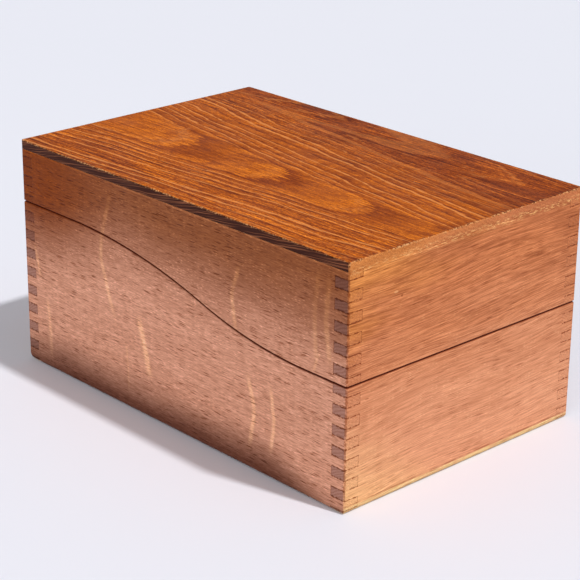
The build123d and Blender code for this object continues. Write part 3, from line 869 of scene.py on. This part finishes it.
def top_wood(wood):
    """A flat-sawn panel: light and dark lines from back to front with amber flames over the heart."""
    at = Finish("top_panel_wood")
    grain = at.join(at.y, at.x, at.z)
    inputs = {"Place": at.join(at.y, at.x, at.less(at.z, HEIGHT)), "Spacing": wood.ring_spacing / MM}
    inputs |= {"Phase": 0.83, "Seed": 3.0}
    line, shade, tone, flame = at.use(growth_rings(), inputs, "Line", "Shade", "Tone", "Flame")
    pore = dashes(at, grain, 4.0, 0.5, 0.42, 5.0)
    edge = at.use(case_edges(), {"Place": at.place, "Reach": 0.65}, "Edge")
    smear, scratch, dent = wear(at, 2.0)

    patch = at.cloud(at.place, (22.0, 48.0, 22.0), detail=3, distortion=0.6)
    swing = at.product(at.less(patch, 0.5), 26.0)
    right = at.span(at.total(at.x, at.product(at.y, -0.133), swing), 22.0, 50.0)
    turned = at.add("ShaderNodeVectorRotate", {"Vector": at.place, "Angle": -0.55}, rotation_type="Z_AXIS")
    smoke = at.cloud(turned, (9.0, 34.0, 20.0), detail=3, roughness=0.6, distortion=0.8)
    amber = at.product(flame, at.span(tone, 0.1, 0.5, 0.6, 1.0), at.span(smoke, 0.4, 0.62, 1.0, 0.3))
    hue = at.mix(amber, wood.top_colour, wood.top_amber)
    hue = at.mix(at.product(right, 0.9), hue, wood.top_red)
    hue = darken(at, hue, at.span(smoke, 0.5, 0.64), 0.4)
    hue = darken(at, hue, shade, 0.72)
    from_middle = at.absolute(at.total(at.x, 4.0))
    gain = at.span(from_middle, 20.0, 48.0, 1.0, 1.6)
    layers = (
        (80.0, 1.7, at.product(gain, 0.36), 9.0),
        (34.0, 0.7, at.product(gain, 0.46), 4.0),
        (5.0, 0.45, at.product(gain, 0.48), 14.0),
        (1.6, 0.35, at.product(gain, 0.48), 24.0),
    )
    hue, fibre = streaked(at, grain, hue, *layers)
    hue = at.mix(at.product(line, at.total(0.66, at.product(right, -0.15))), hue, wood.top_light)
    hue = darken(at, hue, pore, 0.7)
    bent = at.product(at.less(patch, 0.5), 3.0)
    crease = at.fade(at.absolute(at.total(at.y, 19.5, bent)), 0.1, 0.5)
    hue = darken(at, hue, at.product(crease, at.fade(from_middle, 22.0, 34.0)), 0.4)
    worn = at.span(at.cloud(at.place, 16.0, detail=1), 0.4, 0.6, 0.25, 0.85)
    hue = darken(at, hue, at.product(at.fade(at.y, -110.5, -104.0), worn), 0.5)
    hue = at.mix(at.product(scratch, 0.5), hue, SCRATCHED)

    slanted = at.total(at.z, at.product(at.y, 0.15), at.product(patch, 5.0))
    lines = at.noise(at.join(at.over(slanted, 0.55), at.over(at.y, 30.0), 0.0), detail=1)
    hue = at.mix(at.faces(0), hue, at.mix(at.span(lines, 0.48, 0.66), FLANK_DARK, FLANK_LIGHT))
    hue = at.mix(at.faces(1), hue, cut_end(at, wood, 6.0, 0.14, 0.24))
    chips = at.cloud(at.place, 1.0, detail=3, roughness=0.7)
    chip = at.mix(at.span(chips, 0.44, 0.56), CHIP_DARK, CHIP_LIGHT)
    hue = at.mix(at.product(edge, worn), hue, chip)
    below = at.math("LESS_THAN", at.z, SEAM + 0.05)
    hue = at.mix(below, hue, raw_wood(at, grain, wood, 70.0))
    at.relief(0.25, 0.12, (pore, -1.0), (fibre, 0.4), (dent, -1.0), (line, 0.3))
    return varnished(at, hue, smear, pore, 0.1, below)


def plain_wood(wood, name, along_x, has_varnish):
    """The wood of the bottom panel and the follower board."""
    at = Finish(name)
    grain = at.join(at.x, at.z, at.y) if along_x else at.join(at.y, at.x, at.z)
    pore = dashes(at, grain, 4.0, 0.5, 0.45, 15.0)
    smear, scratch, dent = wear(at, 5.0)
    body = wood.front_colour if has_varnish else wood.raw_colour
    layers = ((70.0, 3.0, 0.18, 12.0), (24.0, 1.0, 0.24, 13.0), (6.0, 0.5, 0.3, 14.0))
    hue, fibre = streaked(at, grain, body, *layers)
    hue = darken(at, hue, pore, 0.75)
    hue = at.mix(at.product(scratch, 0.4), hue, SCRATCHED_PALE)
    at.relief(0.35, 0.12, (pore, -1.0), (fibre, 0.4), (dent, -1.0))
    return at.done(hue, at.total(at.product(smear, 0.14), 0.34 if has_varnish else 0.6))


def metal(name, clean, dull, rough, streaks):
    """Metal that has dulled in clouds, with fine rubbing marks along its length."""
    at = Finish(name)
    cloud = at.cloud(at.place, 6.0, detail=4, roughness=0.65, distortion=0.5)
    speck = at.cloud(at.place, 0.5, detail=2)
    rub = at.cloud(at.place, streaks, detail=3)
    smear, scratch, _ = wear(at, 8.0)
    dulled = at.span(at.total(cloud, at.product(speck, 0.3)), 0.5, 0.9)
    hue = at.mix(at.product(dulled, 0.6), clean, dull)
    hue = at.mix(at.product(rub, 0.2), hue, dull)
    worn = at.total(at.product(dulled, 0.14), at.product(rub, 0.1), at.product(smear, 0.08), rough)
    at.relief(0.3, 0.02, (rub, 1.0), (speck, 0.4), (scratch, -2.0))
    return at.done(hue, worn, "Metallic", 1.0)


def shared_metal(name, *finish):
    """A metal by name, made only the first time."""
    return bpy.data.materials.get(name) or metal(name, *finish)


def brass_finish(hardware):
    return shared_metal("aged_brass", hardware.brass, hardware.brass_dull, 0.3, (9.0, 0.4, 0.4))


def steel_finish(hardware):
    return shared_metal("dull_plated_steel", hardware.steel, hardware.steel_dull, 0.36, (0.4, 12.0, 0.4))


# ---------------------------------------------------------------- pieces


def placed(name, mesh):
    """A new object at the origin."""
    piece = bpy.data.objects.new(name, mesh)
    bpy.context.scene.collection.objects.link(piece)
    return piece


def bake(piece):
    """Turns the result of a piece's modifiers into its own plain mesh."""
    made = bpy.data.meshes.new_from_object(piece.evaluated_get(bpy.context.evaluated_depsgraph_get()))
    piece.modifiers.clear()
    old = piece.data
    name = old.name
    piece.data = made
    bpy.data.meshes.remove(old)
    made.name = name


def welded_copy(node, name):
    """A copy of a CAD node as one closed mesh of flat faces."""
    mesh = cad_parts[node].data.copy()
    mesh.name = name
    mesh.materials.clear()
    shape = bmesh.new()
    shape.from_mesh(mesh)
    bmesh.ops.remove_doubles(shape, verts=shape.verts, dist=0.002 * MM)
    bmesh.ops.dissolve_limit(shape, angle_limit=math.radians(0.5), verts=shape.verts, edges=shape.edges)
    shape.to_mesh(mesh)
    shape.free()
    for layer in list(mesh.uv_layers):
        mesh.uv_layers.remove(layer)
    mesh.shade_smooth()
    return placed(name, mesh)


def soften(piece, width):
    """Rounds the edges of a piece a little, as sanding does, and makes the rounding part of its mesh."""
    bevel = piece.modifiers.new("sanded", "BEVEL")
    bevel.width = width * MM
    bevel.segments = 2
    bevel.limit_method = "ANGLE"
    bevel.angle_limit = math.radians(20)
    level = piece.modifiers.new("level shading", "WEIGHTED_NORMAL")
    level.mode = "FACE_AREA"
    level.weight = 100
    bake(piece)


def wooden_piece(node, name, body, material, width):
    """A board as it leaves the sander, in place of its CAD node."""
    piece = welded_copy(node, name)
    soften(piece, width)
    piece.data.materials.append(material)
    drop = LID_DROP if body == "lid" else 0.0
    values = piece.data.attributes.new("sunk", "FLOAT", "POINT")
    values.data.foreach_set("value", [drop] * len(piece.data.vertices))
    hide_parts(node)
    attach(piece, body)


def walls(wood, finish, slot, *names):
    """Two opposite walls, each of one board that is sawn into a part of the base and a part of the lid."""
    for name, way in zip(names, (-1, 1)):
        material = finish(wood, way)
        for body in ("base", "lid"):
            node = f"{body}_{name}"
            wooden_piece(node, f"{node}_board", body, material, 0.1)


def repeated_piece(recipe, values, name, body, slot, material, *nodes):
    """A mesh made by a recipe with those values, in place of CAD nodes."""
    piece = placed(name, bpy.data.meshes.new(name))
    modifier = piece.modifiers.new("recipe", "NODES")
    modifier.node_group = recipe
    sockets = {item.name: item.identifier for item in recipe.interface.items_tree if item.in_out == "INPUT"}
    for label, value in {**values, "Material": material}.items():
        modifier[sockets[label]] = value
    bake(piece)
    piece.data.shade_smooth()
    piece.data.set_sharp_from_angle(angle=math.radians(35))
    if nodes:
        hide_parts(*nodes)
    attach(piece, body)


def refinish(material, *nodes):
    """Gives CAD nodes that stay as they are a better finish."""
    for node in nodes:
        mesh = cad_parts[node].data
        mesh.materials.clear()
        mesh.materials.append(material)


class MakeSides(bpy.types.Operator):
    """Dress the side boards of the base and the lid"""

    bl_idname = "card_box.sides"
    bl_label = "Side Boards"

    def execute(self, context):
        walls(context.scene.card_box.wood, side_wood, "lengthwise_oak", "left", "right")
        return {"FINISHED"}


class MakeEnds(bpy.types.Operator):
    """Dress the front and back boards of the base and the lid"""

    bl_idname = "card_box.ends"
    bl_label = "Front and Back Boards"

    def execute(self, context):
        walls(context.scene.card_box.wood, end_wood, "end_oak", "front", "back")
        return {"FINISHED"}


class MakeTop(bpy.types.Operator):
    """Dress the top panel of the lid"""

    bl_idname = "card_box.top"
    bl_label = "Top Panel"

    def execute(self, context):
        material = top_wood(context.scene.card_box.wood)
        wooden_piece("lid_top", "top_panel", "lid", material, 0.2)
        return {"FINISHED"}


class MakeBottom(bpy.types.Operator):
    """Dress the bottom panel of the base"""

    bl_idname = "card_box.bottom"
    bl_label = "Bottom Panel"

    def execute(self, context):
        material = plain_wood(context.scene.card_box.wood, "bottom_panel_wood", False, False)
        wooden_piece("base_bottom", "bottom_panel", "base", material, 0.15)
        return {"FINISHED"}


class MakeFollowerBoard(bpy.types.Operator):
    """Dress the leaning board that holds the cards up"""

    bl_idname = "card_box.follower_board"
    bl_label = "Follower Board"

    def execute(self, context):
        material = plain_wood(context.scene.card_box.wood, "follower_wood", True, True)
        wooden_piece("follower_board", "follower_block", "follower", material, 0.3)
        return {"FINISHED"}


class MakeMetal(bpy.types.Operator):
    """Finish the hinges, the rail and the fittings of the follower"""

    bl_idname = "card_box.metal"
    bl_label = "Hinges, Rail and Fittings"

    def execute(self, context):
        hardware = context.scene.card_box.hardware
        brass = brass_finish(hardware)
        for side in ("left", "right"):
            refinish(brass, *(f"hinge_{side}_{part}" for part in ("base_leaf", "lid_leaf", "pin")))
        refinish(steel_finish(hardware), "follower_rail", "follower_saddle", "follower_upright")
        blued = metal("blued_spring_steel", hardware.spring, SPRING_WORN, 0.28, (0.3, 8.0, 0.3))
        refinish(blued, "follower_spring")
        return {"FINISHED"}


class MakeScrews(bpy.types.Operator):
    """Make the slotted screws of the hinges and of the rail"""

    bl_idname = "card_box.screws"
    bl_label = "Screws"

    # In millimetres: the left screw of the hinges, the steps to the next screw and to the next hinge, the
    # two leaf faces with the way that their screws point, and the screws of the rail.
    first = -51.5
    next_screw = 19.0
    next_hinge = 84.0
    leaves = (("base", 82.15, -1.0), ("lid", 82.65, 1.0))
    rail_start = (0.0, -88.0, 7.8)
    rail_step = 176.0
    rail_length = 6.4

    def execute(self, context):
        settings = context.scene.card_box
        brass = brass_finish(settings.hardware)
        for body, flat, way in self.leaves:
            node = f"{body}_hinge_screws"
            low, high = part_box(node)
            values = {
                "Start": (self.first * MM, (low[1] + high[1]) / 2, flat * MM),
                "Step": (self.next_screw * MM, 0.0, 0.0), "Count": 2,
                "Row Step": (self.next_hinge * MM, 0.0, 0.0), "Rows": 2,
                "Axis": (0.0, 0.0, way), "Seed": settings.seed + len(body),
            }
            name = f"{body}_leaf_screws"
            repeated_piece(slotted_screws(), values, name, body, "hinge_brass", brass, node)
        values = {
            "Start": tuple(part * MM for part in self.rail_start),
            "Step": (0.0, self.rail_step * MM, 0.0), "Count": 2,
            "Axis": (0.0, 0.0, -1.0), "Length": self.rail_length * MM, "Seed": settings.seed,
        }
        steel = steel_finish(settings.hardware)
        node = "follower_rail_screws"
        repeated_piece(slotted_screws(), values, "rail_screws", "base", "plated_steel", steel, node)
        return {"FINISHED"}


class MakeRivets(bpy.types.Operator):
    """Make the rivets that hold the follower together"""

    bl_idname = "card_box.rivets"
    bl_label = "Rivets"

    # In millimetres: the foot of the board's back face, how far above it the lower rivet is, the board's
    # thickness, the step to the upper rivet, and the place and the sizes of the rivet through the foot.
    # The board leans back by those degrees.
    lean = 10
    board_foot = (0, 82.8, 5)
    above_foot = 20
    board_thickness = 8
    step = 18
    foot_start = (0.0, 92.7, 9.0)
    foot_sizes = {"Head Radius": 1.8, "Head Height": 0.5, "Shank Radius": 1.0, "Grip": 2.1}

    def execute(self, context):
        steel = steel_finish(context.scene.card_box.hardware)
        lean = math.radians(self.lean)
        up = Vector((0, math.sin(lean), math.cos(lean)))
        back = Vector((0, math.cos(lean), -math.sin(lean)))
        start = Vector(self.board_foot) + up * self.above_foot - back * self.board_thickness
        values = {
            "Start": tuple(start * MM), "Step": tuple(up * self.step * MM), "Count": 2, "Axis": tuple(back),
        }
        recipe = domed_rivets()
        node = "follower_rivets"
        repeated_piece(recipe, values, "board_rivets", "follower", "plated_steel", steel, node)
        values = {"Start": tuple(part * MM for part in self.foot_start)}
        values |= {label: size * MM for label, size in self.foot_sizes.items()}
        repeated_piece(recipe, values, "foot_rivet", "follower", "plated_steel", steel)
        return {"FINISHED"}


class MakeStage(bpy.types.Operator):
    """Set the floor, the lamps and the camera"""

    bl_idname = "card_box.stage"
    bl_label = "Stage"

    # Half the floor's side in metres, and for each lamp the way to it and its spread in degrees.
    floor_half = 6.0
    lamps = (("key", (0.13, -0.52, 0.85), 3.0), ("fill", (-0.85, -0.40, 0.35), 50))

    def execute(self, context):
        settings = context.scene.card_box.stage
        self.floor(settings)
        for name, towards, spread in self.lamps:
            self.lamp(name, getattr(settings, name), towards, spread)
        self.sky(context, settings)
        self.camera(context, settings)
        return {"FINISHED"}

    def floor(self, settings):
        at = Finish("pale_floor")
        patch = at.cloud(at.place, 160.0, detail=3)
        at.relief(0.1, 0.05, (at.cloud(at.place, 1.5, detail=2), 1.0))
        hue = at.mix(at.product(patch, 0.2), settings.floor, FLOOR_STAIN)
        at.done(hue, at.total(at.product(patch, 0.1), 0.55), value=0.2)
        half = self.floor_half
        corners = [(-half, -half, 0), (half, -half, 0), (half, half, 0), (-half, half, 0)]
        mesh = bpy.data.meshes.new("floor")
        mesh.from_pydata(corners, [], [(0, 1, 2, 3)])
        mesh.materials.append(at.material)
        placed("floor", mesh)

    def lamp(self, name, strength, towards, spread):
        data = bpy.data.lights.new(name, "SUN")
        data.energy = strength
        data.angle = math.radians(spread)
        lamp = placed(name, data)
        lamp.rotation_mode = "QUATERNION"
        lamp.rotation_quaternion = Vector(towards).to_track_quat("Z", "Y")

    def sky(self, context, settings):
        """Light that grows towards the zenith, and a pale backdrop for what the camera sees."""
        world = bpy.data.worlds.new("sky")
        world.use_nodes = True
        at = Wiring(world.node_tree)
        where = world.node_tree.nodes.new("ShaderNodeTexCoord").outputs
        light = at.span(at.split(where["Generated"])[2], 0.25, 0.85, settings.horizon, settings.sky)
        ray = world.node_tree.nodes.new("ShaderNodeLightPath").outputs
        shine = at.product(ray["Is Glossy Ray"], settings.shine)
        seen = at.most(ray["Is Camera Ray"], ray["Is Transmission Ray"], shine)
        background = world.node_tree.nodes["Background"].inputs
        at.feed(background["Color"], at.mix(seen, SKY, settings.backdrop))
        at.feed(background["Strength"], at.blend(seen, light, 1.0))
        context.scene.world = world

    def camera(self, context, settings):
        turn, rise, roll = settings.turn, settings.rise, settings.roll
        level_back = Vector((-math.sin(turn), -math.cos(turn), 0))
        back = level_back * math.cos(rise) + Vector((0, 0, math.sin(rise)))
        level = Vector((math.cos(turn), -math.sin(turn), 0))
        upright = back.cross(level)
        right = level * math.cos(roll) + upright * math.sin(roll)
        up = upright * math.cos(roll) - level * math.sin(roll)
        aim = (Vector((0, 0, HEIGHT / 2)) + right * AIM_RIGHT + up * AIM_UP) * MM
        data = bpy.data.cameras.new("camera")
        data.lens = settings.lens
        data.clip_start = 0.01
        data.clip_end = 50
        camera = placed("camera", data)
        place = Matrix.Translation(aim + back * settings.distance)
        camera.matrix_world = place @ Matrix((right, up, back)).transposed().to_4x4()
        context.scene.camera = camera


OPERATORS = (
    MakeStage, MakeSides, MakeEnds, MakeTop, MakeBottom,
    MakeFollowerBoard, MakeMetal, MakeScrews, MakeRivets,
)


class CardBoxPanel(bpy.types.Panel):
    """Lists what makes the card box"""

    bl_idname = "VIEW3D_PT_card_box"
    bl_label = "Card Box"
    bl_space_type = "VIEW_3D"
    bl_region_type = "UI"
    bl_category = "Card Box"

    def draw(self, context):
        for operator in OPERATORS:
            self.layout.operator(operator.bl_idname)


CLASSES = (CardBoxWood, CardBoxHardware, CardBoxStage, CardBoxSettings, *OPERATORS, CardBoxPanel)


def register():
    for cls in CLASSES:
        bpy.utils.register_class(cls)
    bpy.types.Scene.card_box = PointerProperty(type=CardBoxSettings)


def unregister():
    del bpy.types.Scene.card_box
    for cls in reversed(CLASSES):
        bpy.utils.unregister_class(cls)


def main():
    """Makes the whole card box."""
    register()
    bpy.context.scene.view_settings.view_transform = "Standard"
    for operator in OPERATORS:
        group, name = operator.bl_idname.split(".")
        getattr(getattr(bpy.ops, group), name)()


if __name__ == "__main__":
    main()
